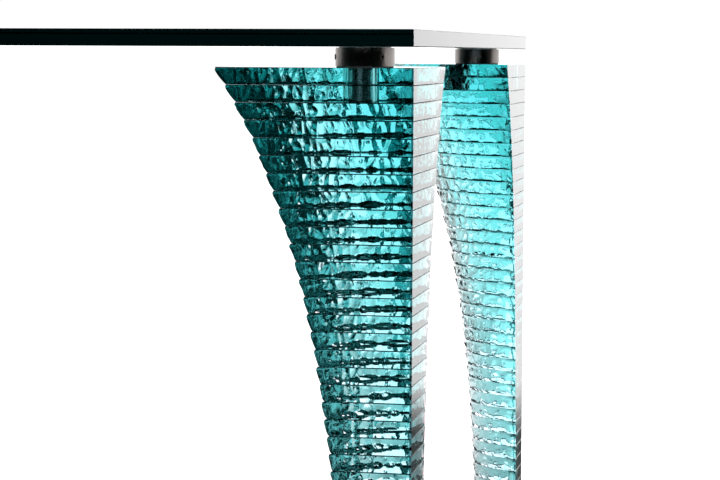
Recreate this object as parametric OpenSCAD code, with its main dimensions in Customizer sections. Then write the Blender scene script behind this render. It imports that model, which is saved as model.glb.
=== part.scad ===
// Dining table: a thick clear glass top on four corner legs. Each leg is a stack of glass slabs
// with two polished sides that meet at the table's corner and a chipped, curved inner side, and it
// gets narrower towards the floor. A steel spacer on each leg holds the top clear of the stack.
// Origin: centre of the floor area. +X runs along the table, +Z is up. Millimetres.

/* [Top] */
// Length of the glass top
top_l = 2000; // [1600:50:2400]
// Width of the glass top
top_w = 1000; // [800:50:1200]
// Thickness of the glass, the same for the top and for every slab
glass_t = 19; // [15:1:25]
// Width of the ground arris along the top's edges
top_arris = 1; // [0.5:0.5:2]
// Radius of the top's four upright corner edges
top_corner_r = 2; // [1:1:6]

/* [Legs] */
// Number of slabs in each leg
slabs = 36; // [20:1:40]
// Side that the leg narrows towards, far below its top
foot_w = 61; // [55:1:90]
// How much wider than that the leg is at its top
leg_flare = 158; // [140:2:200]
// Depth below the leg's top at which about a third of the flare is left
flare_depth = 253; // [200:1:400]
// Radius of the chipped inner side, as a multiple of the slab's side
inner_arc = 1.45; // [1.2:0.05:2]
// How far each slab's lower edge stands back from the slab below
undercut = 2; // [0:0.5:4]

/* [Spacers] */
// Clear height between the legs and the top
gap_h = 22; // [22:1:40]
// Outer diameter of the steel collar
collar_d = 65; // [62:1:80]
// Wall of the collar
collar_wall = 3.5; // [3:0.5:4.5]
// Distance of the collar's axis from both polished sides
collar_inset = 65; // [60:1:68]
// Diameter of the spigot that the grub screws clamp
spigot_d = 30; // [20:1:30]
// Wall of the cup around the spigot
cup_wall = 8; // [6:0.5:9]
// Thickness of the plates at the spacer's two ends
plate_t = 4; // [3:0.5:5]
// Thread diameter of the grub screws
screw_d = 6; // [4:1:6]
// Number of grub screws in each collar
screws = 3; // [2:1:4]
// How far a grub screw stands proud of the collar
screw_proud = 0.8; // [0:0.2:1.6]

/* [Anchors and pads] */
// Diameter of the bore through the top slabs
bore_d = 40; // [36:1:44]
// Number of slabs that the bore goes through
bored_slabs = 2; // [1:1:3]
// Diameter of the anchor's neck in that bore
neck_d = 30; // [24:1:32]
// Height of the rings that centre the neck in the bore
ring_h = 3; // [2:0.5:5]
// Thickness of the gasket between the spacer and the leg
gasket_t = 1; // [0.5:0.5:1.5]
// Thickness of the bond between the spacer and the top
bond_t = 0.5; // [0.5:0.5:1]
// Thickness of the pad under each leg
pad_t = 3; // [2:1:6]
// How far the pad stands in from the leg's sides
pad_inset = 3; // [1:1:8]

/* [Hidden] */

$fn = 96;
arc_fn = 180;           // facets of a full circle on the legs' curved sides
small_fn = 48;          // the same on small turned parts
eps = 0.01;             // overlap of a cutting shape with the face that it cuts
blank_ratio = 1.2;      // side of the square blank that the curved side is cut from
fit_gap = 0.2;          // radial gap between turned parts that slide together
end_gap = 1;            // air between the spigot's end, the cup and the plates
edge_gap = 2;           // step between a gasket's edge and the collar's
leg_top_z = pad_t + slabs * glass_t;
top_z = leg_top_z + gap_h;
seat_z = leg_top_z + gasket_t;
bond_z = top_z - bond_t;
screw_z = (seat_z + bond_z) / 2;
bore_floor_z = leg_top_z - bored_slabs * glass_t;
plate_d = collar_d - 2 * collar_wall - 2 * fit_gap;
cup_bore_d = spigot_d + 2 * fit_gap;
cup_d = cup_bore_d + 2 * cup_wall;
cup_floor_z = seat_z + plate_t + end_gap;
cup_top_z = bond_z - plate_t - end_gap;
spigot_z = cup_floor_z + end_gap;
screw_l = (collar_d - spigot_d) / 2 + screw_proud - fit_gap / 2;
socket_af = screw_d / 2;
socket_depth = 3.5;
arc_offset = (sqrt(2 * inner_arc * inner_arc - 1) - 1) / 2;

glass_edge = [0.25, 0.66, 0.64, 0.75];
clear_glass = [0.05, 0.12, 0.11, 0.6];
steel = "dimgray";
turned_steel = [0.27, 0.33, 0.33];
rubber = [0.12, 0.12, 0.13];
nylon = [0.2, 0.2, 0.21];

function slab_name(i) = str("slab_", i < 10 ? "0" : "", i);

// Side of the leg at a depth below its top.
function side_at(depth) = foot_w + leg_flare * exp(-depth / flare_depth);

// Puts its children, drawn with the leg's corner at the origin and the leg in +X +Y, at each corner.
module each_leg() {
    for (sx = [-1, 1], sy = [-1, 1])
        translate([sx * top_l / 2, sy * top_w / 2, 0])
            rotate(atan2(-sy, -sx) - 45)
                children();
}

// Puts its children on the spacer's axis at each corner, with +X towards the table's corner.
module each_spacer() {
    each_leg()
        translate([collar_inset, collar_inset, 0])
            rotate(225)
                children();
}

// Puts its children on the axis of each grub screw, with +Z pointing out of the collar.
module each_screw() {
    for (k = [0:screws - 1])
        rotate(k * 360 / screws)
            translate([0, 0, screw_z])
                rotate([0, 90, 0])
                    children();
}

module ring(d, bore, h) {
    difference() {
        cylinder(d = d, h = h);
        translate([0, 0, -eps])
            cylinder(d = bore, h = h + 2 * eps);
    }
}

// Two straight sides of length w from a right-angled corner, joined by the curved inner side.
module leg_plan(w) {
    intersection() {
        square(blank_ratio * w);
        translate([-arc_offset * w, -arc_offset * w])
            circle(r = inner_arc * w, $fn = arc_fn);
    }
}

// One slab of a leg, counted from the top. Its inner side is a cone that slants in downwards.
module slab(i) {
    w = side_at((i - 1) * glass_t);
    w_under = side_at(i * glass_t) - undercut;
    offset_w = arc_offset * w;
    intersection() {
        cube([blank_ratio * w, blank_ratio * w, glass_t]);
        translate([-offset_w, -offset_w, 0])
            cylinder(h = glass_t, r1 = norm([w_under + offset_w, offset_w]),
                     r2 = inner_arc * w, $fn = arc_fn);
    }
}

// The slabs at one height: the same slab in each of the four legs.
module slab_course(i) {
    color(glass_edge)
        each_leg()
            difference() {
                translate([0, 0, leg_top_z - i * glass_t])
                    slab(i);
                if (i <= bored_slabs)
                    translate([collar_inset, collar_inset, leg_top_z - i * glass_t - eps])
                        cylinder(d = bore_d, h = glass_t + 2 * eps);
            }
}

// Cross-section of the top, length l, with its arrises.
module top_section(l) {
    polygon([
        [-l / 2 + top_arris, 0], [l / 2 - top_arris, 0],
        [l / 2, top_arris], [l / 2, glass_t - top_arris],
        [l / 2 - top_arris, glass_t], [-l / 2 + top_arris, glass_t],
        [-l / 2, glass_t - top_arris], [-l / 2, top_arris]
    ]);
}

module top_outline() {
    square([top_l, top_w - 2 * top_corner_r], center = true);
    square([top_l - 2 * top_corner_r, top_w], center = true);
    for (sx = [-1, 1], sy = [-1, 1])
        translate([sx * (top_l / 2 - top_corner_r), sy * (top_w / 2 - top_corner_r)])
            circle(r = top_corner_r, $fn = small_fn);
}

module tabletop() {
    color(clear_glass)
        translate([0, 0, top_z])
            intersection() {
                rotate([90, 0, 0])
                    linear_extrude(height = top_w, center = true)
                        top_section(top_l);
                rotate([90, 0, 90])
                    linear_extrude(height = top_l, center = true)
                        top_section(top_w);
                linear_extrude(height = glass_t)
                    top_outline();
            }
}

// Clear bond between each top disc and the glass above it.
module bond_films() {
    color("lightcyan")
        each_spacer()
            translate([0, 0, bond_z])
                cylinder(d = plate_d, h = bond_t);
}

// Disc bonded under the top, with the spigot that drops into the leg anchor's cup.
module top_discs() {
    color(turned_steel)
        each_spacer() {
            translate([0, 0, bond_z - plate_t])
                cylinder(d = plate_d, h = plate_t);
            translate([0, 0, spigot_z])
                cylinder(d = spigot_d, h = bond_z - plate_t / 2 - spigot_z);
        }
}

// Brushed sleeve that closes the spacer.
module collars() {
    color(steel)
        each_spacer()
            difference() {
                translate([0, 0, seat_z])
                    ring(collar_d, plate_d + 2 * fit_gap, bond_z - seat_z);
                each_screw()
                    cylinder(d = screw_d + 2 * fit_gap, h = collar_d);
            }
}

// Grub screws with a hexagon socket, which clamp the spigot through the cup.
module grub_screws() {
    color(turned_steel)
        each_spacer()
            each_screw()
                translate([0, 0, collar_d / 2 + screw_proud - screw_l])
                    difference() {
                        cylinder(d = screw_d, h = screw_l, $fn = small_fn);
                        translate([0, 0, screw_l - socket_depth])
                            cylinder(d = socket_af / cos(30), h = socket_depth + eps, $fn = 6);
                    }
}

// Flanged anchor: its neck stands in the bore, and its cup takes the spigot.
module leg_anchors() {
    color(turned_steel)
        each_spacer()
            difference() {
                union() {
                    translate([0, 0, seat_z])
                        cylinder(d = plate_d, h = plate_t);
                    translate([0, 0, seat_z])
                        cylinder(d = cup_d, h = cup_top_z - seat_z);
                    translate([0, 0, bore_floor_z + fit_gap])
                        cylinder(d = neck_d, h = seat_z - bore_floor_z);
                }
                translate([0, 0, cup_floor_z])
                    cylinder(d = cup_bore_d, h = gap_h);
                each_screw()
                    cylinder(d = screw_d + fit_gap, h = collar_d);
            }
}

// Rings that centre the anchor's neck, at both ends of the bore.
module centring_rings() {
    color(nylon)
        each_spacer()
            for (z = [bore_floor_z + fit_gap, leg_top_z - ring_h])
                translate([0, 0, z])
                    ring(bore_d - fit_gap, neck_d + fit_gap, ring_h);
}

// Gasket between the spacer and the leg's top slab.
module seat_gaskets() {
    color(rubber)
        each_spacer()
            translate([0, 0, leg_top_z])
                ring(collar_d - edge_gap, neck_d + edge_gap, gasket_t);
}

// Pad under each leg, with the same plan as the lowest slab, a little smaller.
module foot_pads() {
    color(rubber)
        each_leg()
            translate([pad_inset, pad_inset, 0])
                linear_extrude(height = pad_t)
                    leg_plan(side_at(slabs * glass_t) - undercut - 2 * pad_inset);
}

tabletop();
bond_films();
top_discs();
collars();
grub_screws();
leg_anchors();
centring_rings();
seat_gaskets();
foot_pads();
for (i = [1:slabs])
    slab_course(i);
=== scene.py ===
"""Glass dining table: a clear top on steel spacers and four legs of stacked, chipped glass slabs.

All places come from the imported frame. The slabs are made again here with their chipped sides, and
every other piece is the frame's own mesh with a new material."""
import math

import bpy
import numpy as np
from mathutils import Euler, Matrix, Vector
from mathutils.geometry import delaunay_2d_cdt


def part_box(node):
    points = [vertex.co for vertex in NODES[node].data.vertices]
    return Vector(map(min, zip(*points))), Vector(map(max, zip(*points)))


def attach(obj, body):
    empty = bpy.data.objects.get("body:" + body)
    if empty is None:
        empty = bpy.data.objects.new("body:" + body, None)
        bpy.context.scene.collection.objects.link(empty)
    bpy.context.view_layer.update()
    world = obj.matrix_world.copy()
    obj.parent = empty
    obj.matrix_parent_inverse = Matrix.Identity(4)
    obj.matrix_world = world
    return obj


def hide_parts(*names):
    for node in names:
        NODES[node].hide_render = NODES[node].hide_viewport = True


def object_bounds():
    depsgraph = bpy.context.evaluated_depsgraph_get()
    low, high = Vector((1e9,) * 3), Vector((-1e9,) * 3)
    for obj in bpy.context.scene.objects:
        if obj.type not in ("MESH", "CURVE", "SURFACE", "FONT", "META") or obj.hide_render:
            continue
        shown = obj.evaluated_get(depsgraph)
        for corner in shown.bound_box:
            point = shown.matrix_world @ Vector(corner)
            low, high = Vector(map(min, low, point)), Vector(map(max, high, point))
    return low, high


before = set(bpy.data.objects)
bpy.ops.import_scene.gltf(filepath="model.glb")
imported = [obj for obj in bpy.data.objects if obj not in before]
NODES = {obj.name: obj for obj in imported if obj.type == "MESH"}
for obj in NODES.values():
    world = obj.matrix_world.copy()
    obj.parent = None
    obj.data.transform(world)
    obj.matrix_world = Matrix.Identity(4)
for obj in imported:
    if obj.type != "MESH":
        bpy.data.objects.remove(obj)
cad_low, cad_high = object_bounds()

MM = 0.001

# ---------------------------------------------------------------- sizes
# In millimetres, unless a comment says otherwise.
HALF_L = cad_high.x / MM
HALF_W = cad_high.y / MM
COURSES = 36
CORNERS = {                   # leg name: which way its corner lies from the table's middle
    "front_right": (1, -1),
    "front_left": (-1, -1),
    "rear_right": (1, 1),
    "rear_left": (-1, 1),
}
SLAB_GAP = 0.08               # air between two slabs
ARRIS = 0.6                   # ground arris along a slab's polished edges
CORNER_ARRIS = 2.0            # the same along the leg's outer corner
INNER_ARC = 1.45              # radius of the chipped side, in slab sides
# Its centre lies this far outside the leg's corner, along both polished sides, in slab sides.
ARC_OFFSET = (math.sqrt(2 * INNER_ARC**2 - 1) - 1) / 2

BORED_COURSES = 2
BORE_R = 20.0
BORE_INSET = 65.0
BORE_SIDES = 72
BORE_SATIN_AND_SHADE = 0.5              # how ground the bore's wall is, and so how much of the arrises' painted shade it takes, as a share of the arrises

# The chipped side, before it is chipped
NOSE_STEP = 1.0               # how far its top edge stands out past the CAD slab's cone
NOSE_STRAIGHT = (0.7, 0.2)    # share of its slant that is even, at its two ends and in its middle
NOSE_POWER = 2.5              # how late the rest comes at the ends; scallops take it in the middle
NOSE_ENDS = 0.16              # share of its length in which the ends turn into the middle
TOP_ROUND = (2.4, 0.5)        # how far its top edge is rounded off, at its two ends and in its middle
TOP_ROUND_HEIGHT = 4.5

# Its hollows. Each pair is a range to draw from.
SHELLS = (                    # three sets of shell-shaped hollows, from wide to small
    # spacing, fewest, heights as shares of the thickness, half width, half height, depth, lean
    (18, 3, (0, 1), (8, 14), (24, 30), (0.9, 1.4), 0.3),
    (15, 4, (0.3, 1), (6, 13), (6, 13), (1.1, 1.9), 0.6),
    (11, 6, (0, 1), (2, 4.5), (1.5, 4), (1.1, 2.0), 0.8),
)
SCALLOP_SPACING = 9           # scallops are the hollows along the lower edge
FEWEST_SCALLOPS = 8
SCALLOP_CENTRE = (-1.8, -0.3)  # below the slab's underside, so that only their upper part shows
SCALLOP_HALF_WIDTH = (6, 20)
SCALLOP_HEIGHT = (4.5, 11)    # where they are shallow
SCALLOP_SHRINK = 0.15         # how much lower the deep ones are, for each millimetre of their depth
SCALLOP_DEPTH = (0.75, 1.2)   # as a share of what stands out there
LEAST_SCALLOP = 0.3           # added to what stands out, so that every scallop shows
LEAST_CHIP = 0.15             # what is lost even between two hollows
PLACE_JITTER = 0.45           # how far a hollow may be from its even place, as a share of the spacing
RIPPLE = 0.06                 # height of the rings in each hollow
RIPPLE_RATE = 9.0             # turns of the rings from a hollow's middle to its edge, in radians

MESH_STEP = 0.95              # grid spacing on the chipped side
FEWEST_ROWS = 8
FEWEST_COLUMNS = 24
FLAT_COLUMNS = [0, -2, -1]    # of the grid's faces: two polished sides and the corner arris
CORNER_COLUMN = -1
SHARP_ANGLE = 32              # degrees between two faces that makes their edge sharp
TOUCH = 0.01                  # how near to a plane a vertex of the frame is taken to be on it
SEED = 4096


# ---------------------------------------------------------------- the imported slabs
def course_name(course):
    return f"slab_{course:02d}"


def slab_sides(course):
    """Side of a slab at its top and at its underside, and its two heights, all from the CAD node."""
    low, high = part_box(course_name(course))
    co = np.array([v.co for v in NODES[course_name(course)].data.vertices]) / MM
    front = co[(np.abs(co[:, 1] + HALF_W) < TOUCH) & (co[:, 0] > 0)]
    z_low = low.z / MM
    z_high = high.z / MM
    at_top = front[front[:, 2] > z_high - TOUCH]
    at_low = front[front[:, 2] < z_low + TOUCH]
    return HALF_L - at_top[:, 0].min(), HALF_L - at_low[:, 0].min(), z_low, z_high


# ---------------------------------------------------------------- chipped glass
def hollows(rng, length, spacing, fewest, z_range, half_width, half_height, depth, lean):
    """One set of random hollows. Its rows are their places along the arc, heights, two half sizes,
    depths and leans."""
    count = max(fewest, round(length / spacing))
    s = (np.arange(count) + 0.5 + rng.uniform(-PLACE_JITTER, PLACE_JITTER, count)) * length / count
    return np.stack([
        s,
        rng.uniform(*z_range, count),
        rng.uniform(*half_width, count),
        rng.uniform(*half_height, count),
        rng.uniform(*depth, count),
        rng.uniform(-lean, lean, count),
    ])


def chip_depth(rng, s, z, length, thickness, stands_out):
    """How deep the chipping bites at each grid point: the deepest of many overlapping hollows. The
    scallops along the lower edge bite as deep as the side stands out there."""
    sets = []
    for spacing, fewest, (low, high), *ranges in SHELLS:
        sets.append(hollows(rng, length, spacing, fewest, (low * thickness, high * thickness), *ranges))
    half_height = [v / (1 + SCALLOP_SHRINK * stands_out.max()) for v in SCALLOP_HEIGHT]
    scallops = hollows(
        rng, length, SCALLOP_SPACING, FEWEST_SCALLOPS, SCALLOP_CENTRE,
        SCALLOP_HALF_WIDTH, half_height, SCALLOP_DEPTH, 0.0,
    )
    scallops[4] *= np.interp(scallops[0], s[0], stands_out)
    depth = np.full(s.shape, LEAST_CHIP)
    for s0, z0, half_s, half_z, h, lean in np.concatenate([*sets, scallops], axis=1).T:
        across = s - s0 - lean * (z - z0)
        fall = (across / half_s) ** 2 + ((z - z0) / half_z) ** 2
        rings = RIPPLE * np.sin(RIPPLE_RATE * np.sqrt(fall))
        np.maximum(depth, h * (1 - fall) + rings, out=depth)
    return depth


def between(pair, middle):
    """Value that is the pair's first number at the two ends and its second in the middle."""
    return pair[0] + (pair[1] - pair[0]) * middle


def chipped_radius(rng, share, z, length, thickness, r_top, r_low):
    """Radius of the chipped side at each grid point. At its two ends the side comes in late towards
    the underside, like a rounded nose. In its middle it stands out, and scallops take that away."""
    s, zz = np.meshgrid(share * length, z)
    from_end = np.minimum(1, np.minimum(share, 1 - share) / NOSE_ENDS)
    middle = from_end**2 * (3 - 2 * from_end)
    straight = between(NOSE_STRAIGHT, middle)
    slant = r_top + NOSE_STEP - r_low
    below = 1 - zz / thickness
    late = (1 - straight) * (1 - middle) * below**NOSE_POWER
    radius = r_top + NOSE_STEP - slant * (straight * below + late)
    near_top = np.clip(1 - (thickness - zz) / TOP_ROUND_HEIGHT, 0, 1)
    radius -= between(TOP_ROUND, middle) * near_top**2
    stands_out = LEAST_SCALLOP + slant * (1 - straight) * middle
    return radius - chip_depth(rng, s, zz, length, thickness, stands_out)


def slab_outline(rng, w_top, w_low, thickness):
    """Grid of points round a slab, in the leg's own corner axes: array [row, column, xyz]. The first
    and last columns are the ends of the corner arris, and those between them the chipped side."""
    steps = max(FEWEST_ROWS, round(thickness / MESH_STEP))
    z = np.concatenate([[0.0], np.linspace(ARRIS, thickness - ARRIS, steps), [thickness]])
    inset = np.where((z == 0) | (z == thickness), ARRIS, 0.0)
    offset = ARC_OFFSET * w_top
    r_top = INNER_ARC * w_top
    r_low = math.hypot(w_low + offset, offset)
    arc_angle = math.pi / 2 - 2 * math.asin(offset / r_top)
    length = r_top * arc_angle
    columns = max(FEWEST_COLUMNS, round(length / MESH_STEP)) + 1
    share = np.linspace(0, 1, columns)
    r = chipped_radius(rng, share, z, length, thickness, r_top, r_low)
    first = np.arcsin((offset + inset[:, None]) / r)
    angle = first + share[None, :] * (math.pi / 2 - 2 * first)
    zz = np.broadcast_to(z[:, None], r.shape)
    arc = np.stack([r * np.cos(angle) - offset, r * np.sin(angle) - offset, zz], axis=2)
    corner = CORNER_ARRIS + inset
    start = np.stack([corner, inset, z], axis=1)[:, None, :]
    end = np.stack([inset, corner, z], axis=1)[:, None, :]
    return np.concatenate([start, arc, end], axis=1)


def cap_with_bore(loop, bore):
    """Triangles that fill a flat outline with a round hole in it, as indices into loop + bore."""
    points = np.concatenate([loop, bore])
    n = len(loop)
    m = len(bore)
    edges = [(i, (i + 1) % n) for i in range(n)]
    edges += [(n + i, n + (i + 1) % m) for i in range(m)]
    _, _, faces, *_ = delaunay_2d_cdt([Vector(p) for p in points], edges, [], 1, 1e-9)
    centre = bore.mean(axis=0)
    reach = np.linalg.norm(bore[0] - centre) * math.cos(math.pi / m) - 1e-6
    return [f for f in faces if np.linalg.norm(points[list(f)].mean(axis=0) - centre) > reach]


def slab_mesh(rng, w_top, w_low, thickness, bored):
    """Closed mesh of one slab, corner at the origin, underside at z = 0, in millimetres: vertices,
    faces, and how chipped each face is and how much satin and painted shade it takes."""
    grid = slab_outline(rng, w_top, w_low, thickness)
    rows, columns = grid.shape[:2]
    verts = grid.reshape(-1, 3)
    index = np.arange(rows * columns).reshape(rows, columns)
    right = np.roll(index, -1, axis=1)
    quads = np.stack([index[:-1], right[:-1], right[1:], index[1:]], axis=2)
    chip = np.ones(quads.shape[:2])
    chip[:, FLAT_COLUMNS] = 0
    # faces marked here get satin roughness and the arrises' painted shade
    ground = np.zeros(quads.shape[:2])
    ground[0, FLAT_COLUMNS] = 1
    ground[-1, FLAT_COLUMNS] = 1
    ground[:, CORNER_COLUMN] = 1
    faces = quads.reshape(-1, 4).tolist()
    chip = chip.ravel().tolist()
    ground = ground.ravel().tolist()
    caps = 0
    walls = 0
    if bored:
        turn = np.arange(BORE_SIDES) * 2 * math.pi / BORE_SIDES
        ring = np.stack([np.cos(turn), np.sin(turn)], axis=1) * BORE_R + BORE_INSET
        low_ring = len(verts)
        high_ring = low_ring + BORE_SIDES
        verts = np.concatenate([
            verts,
            np.column_stack([ring, np.zeros(BORE_SIDES)]),
            np.column_stack([ring, np.full(BORE_SIDES, thickness)]),
        ])
        for row, ring_start in ((0, low_ring), (rows - 1, high_ring)):
            for face in cap_with_bore(grid[row, :, :2], ring):
                ids = [index[row, i] if i < columns else ring_start + i - columns for i in face]
                faces.append(ids[::-1] if row == 0 else ids)
                caps += 1
        for i in range(BORE_SIDES):
            j = (i + 1) % BORE_SIDES
            faces.append([low_ring + j, low_ring + i, high_ring + i, high_ring + j])
            walls += 1
    else:
        faces.append(index[0, ::-1].tolist())
        faces.append(index[-1].tolist())
        caps = 2
    chip += [0.0] * (caps + walls)
    ground += [0.0] * caps + [BORE_SATIN_AND_SHADE] * walls
    return verts, faces, chip, ground


def make_object(name, verts, faces, smooth):
    mesh = bpy.data.meshes.new(name)
    mesh.from_pydata(verts, [], faces)
    mesh.polygons.foreach_set("use_smooth", smooth)
    mesh.update()
    obj = bpy.data.objects.new(name, mesh)
    bpy.context.scene.collection.objects.link(obj)
    return obj


def leg_slab(leg, course, material):
    """One chipped slab in its place in a leg."""
    w_top, w_low, z_low, z_high = slab_sides(course)
    sx, sy = CORNERS[leg]
    rng = np.random.default_rng(SEED + 100 * list(CORNERS).index(leg) + course)
    thickness = z_high - z_low - SLAB_GAP
    verts, faces, chip, ground = slab_mesh(rng, w_top, w_low, thickness, course <= BORED_COURSES)
    turn = math.atan2(-sy, -sx) - math.pi / 4
    c = math.cos(turn)
    s = math.sin(turn)
    x = verts[:, 0] * c - verts[:, 1] * s + sx * HALF_L
    y = verts[:, 0] * s + verts[:, 1] * c + sy * HALF_W
    z = verts[:, 2] + z_low + SLAB_GAP / 2
    name = f"leg_{leg}_{course_name(course)}"
    obj = make_object(name, np.column_stack([x, y, z]) * MM, faces, [v > 0 for v in chip])
    obj.data.set_sharp_from_angle(angle=math.radians(SHARP_ANGLE))
    for label, values in (("chipped", chip), ("ground", ground)):
        obj.data.attributes.new(label, "FLOAT", "FACE").data.foreach_set("value", values)
    obj.data.materials.append(material)
    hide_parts(course_name(course))
    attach(obj, "root")
    return obj


# ---------------------------------------------------------------- node trees
class Graph:
    """Small helper to write a node tree in few lines."""

    def __init__(self, tree):
        self.nodes = tree.nodes
        self.links = tree.links

    def node(self, kind, **settings):
        """New node. A setting goes to the input of that name, or else to the property."""
        n = self.nodes.new(kind)
        for key, value in settings.items():
            if key in n.inputs:
                n.inputs[key].default_value = value
            else:
                setattr(n, key, value)
        return n

    def link(self, a, b):
        self.links.new(a, b)

    def feed(self, value, socket):
        """Links an output, or sets a plain value."""
        if isinstance(value, bpy.types.NodeSocket):
            self.links.new(value, socket)
        else:
            socket.default_value = value

    def math(self, operation, *values):
        n = self.node("ShaderNodeMath", operation=operation)
        for value, socket in zip(values, n.inputs):
            self.feed(value, socket)
        return n.outputs[0]

    def fade(self, value, inputs, outputs=(0, 1), kind="LINEAR"):
        """Value carried from one range to another, and held at the ends."""
        n = self.node("ShaderNodeMapRange", interpolation_type=kind)
        for name, number in zip(("From Min", "From Max", "To Min", "To Max"), (*inputs, *outputs)):
            n.inputs[name].default_value = number
        self.feed(value, n.inputs["Value"])
        return n.outputs["Result"]

    def mix(self, factor, if_none, if_full):
        """Mix of two colours."""
        n = self.node("ShaderNodeMix", data_type="RGBA")
        self.feed(factor, n.inputs["Factor"])
        sockets = [v for v in n.inputs if v.type == "RGBA"]
        self.feed(if_none, sockets[0])
        self.feed(if_full, sockets[1])
        return next(v for v in n.outputs if v.type == "RGBA")


class Tree(Graph):
    """The same for a new material."""

    def __init__(self, name):
        self.mat = bpy.data.materials.new(name)
        self.mat.use_nodes = True
        super().__init__(self.mat.node_tree)
        self.bsdf = next(n for n in self.nodes if n.type == "BSDF_PRINCIPLED")
        self.out = next(n for n in self.nodes if n.type == "OUTPUT_MATERIAL")

    def object_coords(self, scale):
        coords = self.node("ShaderNodeTexCoord")
        mapping = self.node("ShaderNodeMapping")
        mapping.inputs["Scale"].default_value = scale
        self.link(coords.outputs["Object"], mapping.inputs["Vector"])
        return mapping.outputs["Vector"]


# ---------------------------------------------------------------- materials
WHITE = (1, 1, 1, 1)
BLACK = (0, 0, 0, 1)
GLASS_IOR = 1.52
GLASS_COLOUR = (0.0, 0.745, 0.745, 1)
GLASS_DENSITY = 19.0
TOP_DENSITY = 24.0
ARRIS_PAINTED_SHADE = (0.02, 0.05, 0.06, 1)  # painted shade: the slabs' satin arrises, and in part the bore's wall, are tinted dark so that they show as dark lines
ARRIS_ROUGHNESS = 0.1
TOP_ARRIS_ROUGHNESS = 0.3
FLAT_NORMAL = 0.95                  # a face whose normal's largest part is less is an arris
CHIP_GRAIN = 0.5                    # bump strength of the fine grain on the chipped side


def clear_glass(name, density):
    """Tree of a clear glass body that takes its green tint from its thickness."""
    t = Tree(name)
    t.bsdf.inputs["Base Color"].default_value = WHITE
    t.bsdf.inputs["Transmission Weight"].default_value = 1
    t.bsdf.inputs["IOR"].default_value = GLASS_IOR
    volume = t.node("ShaderNodeVolumeAbsorption", Color=GLASS_COLOUR, Density=density)
    t.link(volume.outputs["Volume"], t.out.inputs["Volume"])
    return t


def slab_material():
    """Float glass of the slabs: clear where polished, satin with a painted dark shade on the arrises,
    and with a fine grain where chipped."""
    t = clear_glass("slab_glass", GLASS_DENSITY)
    grain = t.node("ShaderNodeTexNoise", Scale=520.0, Detail=2.0, Roughness=0.5)
    t.link(t.object_coords((1, 1, 0.7)), grain.inputs["Vector"])
    chipped = t.node("ShaderNodeAttribute", attribute_name="chipped")
    ground = t.node("ShaderNodeAttribute", attribute_name="ground")
    bump = t.node("ShaderNodeBump", Distance=0.00025)
    t.link(grain.outputs["Fac"], bump.inputs["Height"])
    t.link(t.math("MULTIPLY", chipped.outputs["Fac"], CHIP_GRAIN), bump.inputs["Strength"])
    t.link(bump.outputs["Normal"], t.bsdf.inputs["Normal"])
    t.link(t.math("MULTIPLY", ground.outputs["Fac"], ARRIS_ROUGHNESS), t.bsdf.inputs["Roughness"])
    # painted shade: the marked faces are tinted dark
    t.link(t.mix(ground.outputs["Fac"], WHITE, ARRIS_PAINTED_SHADE), t.bsdf.inputs["Base Color"])
    return t.mat


def top_material():
    """The same glass for the top: its arrises are satin, found by their slanting normals."""
    t = clear_glass("top_glass", TOP_DENSITY)
    geometry = t.node("ShaderNodeNewGeometry")
    split = t.node("ShaderNodeSeparateXYZ")
    t.link(geometry.outputs["True Normal"], split.inputs[0])
    sizes = [t.math("ABSOLUTE", split.outputs[axis]) for axis in "XYZ"]
    largest = t.math("MAXIMUM", t.math("MAXIMUM", sizes[0], sizes[1]), sizes[2])
    slanting = t.math("LESS_THAN", largest, FLAT_NORMAL)
    t.link(t.math("MULTIPLY", slanting, TOP_ARRIS_ROUGHNESS), t.bsdf.inputs["Roughness"])
    return t.mat


def steel_material(name, colour, roughness, streaks):
    """Brushed or turned steel. Its streaks are long along the axes whose scale in streaks is low."""
    t = Tree(name)
    t.bsdf.inputs["Metallic"].default_value = 1
    noise = t.node("ShaderNodeTexNoise", Scale=1.0, Detail=4.0, Roughness=0.6)
    t.link(t.object_coords(streaks), noise.inputs["Vector"])
    streak = t.fade(noise.outputs["Fac"], (0, 1), (0.6, 1.4))
    shade = t.node("ShaderNodeVectorMath", operation="SCALE")
    shade.inputs[0].default_value = colour
    t.link(streak, shade.inputs["Scale"])
    t.link(shade.outputs["Vector"], t.bsdf.inputs["Base Color"])
    t.link(t.math("MULTIPLY", streak, roughness), t.bsdf.inputs["Roughness"])
    bump = t.node("ShaderNodeBump", Strength=0.25, Distance=0.00005)
    t.link(noise.outputs["Fac"], bump.inputs["Height"])
    t.link(bump.outputs["Normal"], t.bsdf.inputs["Normal"])
    return t.mat


def dull_material(name, colour, roughness, grain):
    """Rubber, nylon or cured bond, with a fine grain."""
    t = Tree(name)
    noise = t.node("ShaderNodeTexNoise", Scale=grain, Detail=3.0)
    t.link(t.object_coords((1, 1, 1)), noise.inputs["Vector"])
    darker = (*[0.8 * c for c in colour], 1)
    lighter = (*[1.2 * c for c in colour], 1)
    t.link(t.mix(noise.outputs["Fac"], darker, lighter), t.bsdf.inputs["Base Color"])
    t.bsdf.inputs["Roughness"].default_value = roughness
    bump = t.node("ShaderNodeBump", Strength=0.2, Distance=0.0001)
    t.link(noise.outputs["Fac"], bump.inputs["Height"])
    t.link(bump.outputs["Normal"], t.bsdf.inputs["Normal"])
    return t.mat


def finish_node(node, material):
    """Gives a CAD node that stays its own material."""
    obj = NODES[node]
    obj.data.materials.clear()
    obj.data.materials.append(material)


# ---------------------------------------------------------------- camera
CAMERA_PLACE = (1.395, -2.804, 0.703)
CAMERA_YAW = 11.10            # degrees to the left of +Y
CAMERA_PITCH = 4.88           # degrees down
CAMERA_ROLL = 0.25            # degrees
LENS = 109.8
SENSOR = 36.0


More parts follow.
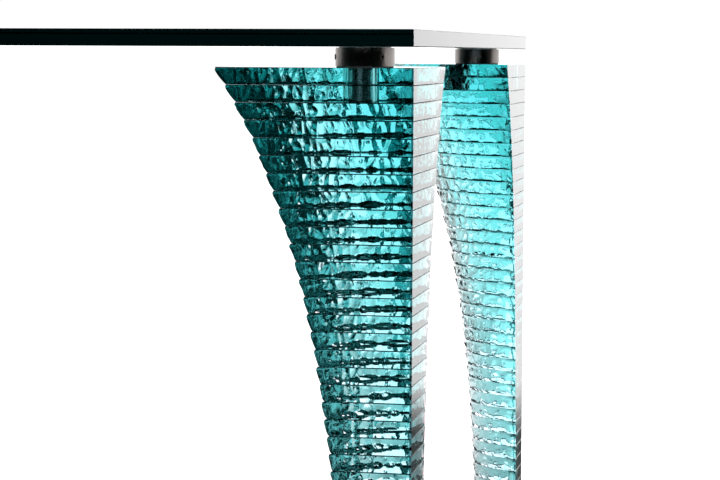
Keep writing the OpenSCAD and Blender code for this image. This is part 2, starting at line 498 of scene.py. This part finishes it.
def make_camera():
    data = bpy.data.cameras.new("camera")
    data.lens = LENS
    data.sensor_width = SENSOR
    data.clip_end = 200
    camera = bpy.data.objects.new("camera", data)
    camera.location = CAMERA_PLACE
    turn = Euler((math.radians(90 - CAMERA_PITCH), 0, math.radians(CAMERA_YAW))).to_matrix()
    camera.rotation_euler = (turn @ Matrix.Rotation(math.radians(CAMERA_ROLL), 3, "Z")).to_euler()
    bpy.context.scene.collection.objects.link(camera)
    bpy.context.scene.camera = camera


# ---------------------------------------------------------------- world
# A band is pairs of (degrees above the horizon, share of full light).
BACKDROP_LEVEL = 1.02         # what the camera sees directly, where white is 1
DULL_LEVEL = 2.5              # what lights the floor and other dull things
MIRROR_LEVEL = 1.8            # what steel and the outside of glass mirror
MIRROR_BAND = ((-90, 0.02), (-9.8, 0.06), (-8.5, 0.8), (3, 1.0), (30, 1.0), (48, 0.1), (90, 0.05))
MIRROR_REAR = (-0.1, 0.35)    # how far towards the rear the mirrored light starts and is full
BOX_LEVEL = 2.4               # the four softboxes, as seen through glass
BOX_TINT = (1.8, 0.95, 1.05, 1)  # colour of their brightest part, which makes highlights paler
BOX_BAND = ((-90, 0), (-2, 0.9), (3, 1), (12, 0.9), (20, 0.4), (30, 0.05), (44, 0.01), (90, 0))
BOX_EDGE = (34, 8)            # degrees from a softbox's middle at which it starts and is full
SIDE_SHARE = 0.6              # how bright the two at the sides are, as a share of the other two
BOX_DIM = 0.01                # what is between them, as a share


def elevation_stop(degrees):
    """Place on a 0 to 1 ramp over the sky's height, from straight down to straight up."""
    return (math.sin(math.radians(degrees)) + 1) / 2


def height_ramp(g, height, band):
    """Share of full light by elevation."""
    ramp = g.node("ShaderNodeValToRGB")
    g.link(height, ramp.inputs["Fac"])
    elements = ramp.color_ramp.elements
    elements.remove(elements[-1])
    elements[0].position = 0
    elements[0].color = (band[0][1],) * 3 + (1,)
    for degrees, level in band[1:]:
        elements.new(elevation_stop(degrees)).color = (level,) * 3 + (1,)
    return ramp.outputs["Color"]


def box_light(g, x, y, edges):
    """Share of full light that comes from one way: full towards the rear and front softboxes,
    less towards the two at the sides, and nearly none between them."""
    x = g.math("ABSOLUTE", x)
    y = g.math("ABSOLUTE", y)
    reach = g.math("SQRT", g.math("MULTIPLY_ADD", x, x, g.math("MULTIPLY", y, y)))
    reach = g.math("MAXIMUM", reach, 0.001)
    limits = [math.cos(math.radians(v)) for v in edges]
    ends = g.fade(g.math("DIVIDE", y, reach), limits, kind="SMOOTHSTEP")
    sides = g.fade(g.math("DIVIDE", x, reach), limits, (BOX_DIM, SIDE_SHARE), "SMOOTHSTEP")
    return g.math("MAXIMUM", ends, sides)


def make_world():
    """White backdrop for the camera and plain light for what is dull. Mirrored light fades towards
    the front. Glass sees four softboxes round the horizon: rear, front, left and right."""
    world = bpy.data.worlds.new("studio")
    bpy.context.scene.world = world
    world.use_nodes = True
    g = Graph(world.node_tree)
    background = next(n for n in g.nodes if n.type == "BACKGROUND")
    coords = g.node("ShaderNodeTexCoord")
    split = g.node("ShaderNodeSeparateXYZ")
    g.link(coords.outputs["Generated"], split.inputs[0])
    x, y, z = split.outputs
    height = g.math("MULTIPLY_ADD", z, 0.5, 0.5)
    from_rear = g.fade(y, MIRROR_REAR, (0, MIRROR_LEVEL), "SMOOTHSTEP")
    mirrored = g.math("MULTIPLY", height_ramp(g, height, MIRROR_BAND), from_rear)
    boxes = g.math("MULTIPLY", height_ramp(g, height, BOX_BAND), box_light(g, x, y, BOX_EDGE))

    # A ray can be of two kinds, so the last kind that fits decides.
    path = g.node("ShaderNodeLightPath")
    strength = 0.0
    for ray, level in (
        ("Is Glossy Ray", mirrored),
        ("Is Transmission Ray", g.math("MULTIPLY", boxes, BOX_LEVEL)),
        ("Is Diffuse Ray", DULL_LEVEL),
        ("Is Camera Ray", BACKDROP_LEVEL),
    ):
        n = g.node("ShaderNodeMix")
        g.link(path.outputs[ray], n.inputs["Factor"])
        g.feed(strength, n.inputs["A"])
        g.feed(level, n.inputs["B"])
        strength = n.outputs[0]
    g.link(strength, background.inputs["Strength"])
    tinted = g.math("MULTIPLY", path.outputs["Is Transmission Ray"], boxes)
    g.link(g.mix(tinted, WHITE, BOX_TINT), background.inputs["Color"])


# ---------------------------------------------------------------- floor
FLOOR_REACH = 40.0            # metres from the middle to each edge
FLOOR_PAINT = (0.78, 0.82)    # range of its grey
FLOOR_PAINTED_LIGHT = (0.78, 0.70, 0.73, 1)  # painted light: its colour seen through glass, pinkish like the softboxes' brightest part
FLOOR_NEAR = (0.2, 2.5)       # metres from the table over which it brightens, seen through glass
FLOOR_DIM = 0.4               # how bright it is next to the table, as a share
POOL_FAR = (1.0, 2.5)         # metres from the table over which the softboxes' pools of light begin
POOL_EDGE = (38, 10)          # degrees from a pool's middle at which it starts and is full
POOL_DEPTH = 0.7              # how much darker the floor is between the pools, as a share
# A ray's steps are the glass faces that it crossed, and 2 for each time that it was mirrored.
STRAIGHT_RAYS = 2.5           # with fewer steps a ray crossed one pane at most and wasn't mirrored
MIRRORED_NEAR = (0.3, 1.6)    # the same as FLOOR_NEAR for all other rays, in front and behind only
MIRRORED_DIM = 0.02
DEEP_RAYS = (4, 6)            # steps at which the floor starts to darken, and is darkest
DEEP_DIM = 0.01


def floor_share(t, steps):
    """How bright the floor is at each place, seen through glass by a ray with so many steps."""
    geometry = t.node("ShaderNodeNewGeometry")
    split = t.node("ShaderNodeSeparateXYZ")
    t.link(geometry.outputs["Position"], split.inputs[0])
    x, y, _ = split.outputs
    away_x = t.math("SUBTRACT", t.math("ABSOLUTE", x), HALF_L * MM)
    away_y = t.math("SUBTRACT", t.math("ABSOLUTE", y), HALF_W * MM)
    away = t.math("MAXIMUM", away_x, away_y)
    near = t.fade(away, FLOOR_NEAR, (FLOOR_DIM, 1))
    far = t.fade(away, POOL_FAR)
    unlit = t.math("SUBTRACT", 1.0, box_light(t, x, y, POOL_EDGE))
    pools = t.math("SUBTRACT", 1.0, t.math("MULTIPLY", t.math("MULTIPLY", far, unlit), POOL_DEPTH))
    mirrored_near = t.fade(away_y, MIRRORED_NEAR, (MIRRORED_DIM, 1))
    mirrored_near = t.math("MAXIMUM", mirrored_near, t.math("LESS_THAN", steps, STRAIGHT_RAYS))
    deep = t.fade(steps, DEEP_RAYS, (1, DEEP_DIM))
    return t.math("MULTIPLY", t.math("MULTIPLY", near, pools), t.math("MULTIPLY", mirrored_near, deep))


def make_floor():
    """Pale matt floor. Seen through glass it takes painted light from the softboxes too, and painted
    shade near the table and after many glass faces, as in a leg's own shade."""
    mesh = bpy.data.meshes.new("floor")
    r = FLOOR_REACH
    mesh.from_pydata([(-r, -r, 0), (r, -r, 0), (r, r, 0), (-r, r, 0)], [], [(0, 1, 2, 3)])
    floor = bpy.data.objects.new("floor", mesh)
    bpy.context.scene.collection.objects.link(floor)
    t = Tree("floor_paint")
    noise = t.node("ShaderNodeTexNoise", Scale=6.0, Detail=3.0)
    t.link(t.object_coords((1, 1, 1)), noise.inputs["Vector"])
    darkest, lightest = [(v, v, v, 1) for v in FLOOR_PAINT]
    paint = t.mix(noise.outputs["Fac"], darkest, lightest)
    path = t.node("ShaderNodeLightPath")
    crossings = path.outputs["Transmission Depth"]
    steps = t.math("MULTIPLY_ADD", path.outputs["Glossy Depth"], 2.0, crossings)
    # painted light and shade on the floor, for rays that came through glass
    through = t.mix(floor_share(t, steps), BLACK, FLOOR_PAINTED_LIGHT)
    t.link(t.mix(t.math("LESS_THAN", crossings, 0.5), through, paint), t.bsdf.inputs["Base Color"])
    t.bsdf.inputs["Roughness"].default_value = 0.9
    mesh.materials.append(t.mat)
    floor.visible_glossy = False


# ---------------------------------------------------------------- light paths
GLASS_BOUNCES = 32            # enough for light that is mirrored many times inside a slab
DIFFUSE_BOUNCES = 3


def set_light_paths():
    scene = bpy.context.scene
    scene.cycles.max_bounces = GLASS_BOUNCES
    scene.cycles.glossy_bounces = GLASS_BOUNCES
    scene.cycles.transmission_bounces = GLASS_BOUNCES
    scene.cycles.diffuse_bounces = DIFFUSE_BOUNCES
    scene.view_settings.view_transform = "Standard"


# ---------------------------------------------------------------- build
leg_glass = slab_material()
for leg in CORNERS:
    for course in range(1, COURSES + 1):
        leg_slab(leg, course, leg_glass)

brushed = steel_material("brushed_steel", (0.2, 0.18, 0.17), 0.32, (900, 900, 6))
turned = steel_material("turned_steel", (0.06, 0.09, 0.09), 0.3, (30, 30, 1500))
screw = steel_material("screw_steel", (0.25, 0.24, 0.24), 0.35, (400, 400, 400))
finish_node("tabletop", top_material())
finish_node("collars", brushed)
finish_node("top_discs", turned)
finish_node("leg_anchors", turned)
finish_node("grub_screws", screw)
finish_node("centring_rings", dull_material("nylon", (0.05, 0.06, 0.06), 0.5, 900.0))
finish_node("bond_films", dull_material("clear_bond", (0.85, 0.92, 0.92), 0.2, 500.0))
finish_node("seat_gaskets", dull_material("gasket_rubber", (0.05, 0.05, 0.05), 0.7, 1500.0))
finish_node("foot_pads", dull_material("pad_rubber", (0.1, 0.1, 0.1), 0.8, 1200.0))

make_camera()
make_world()
make_floor()
set_light_paths()
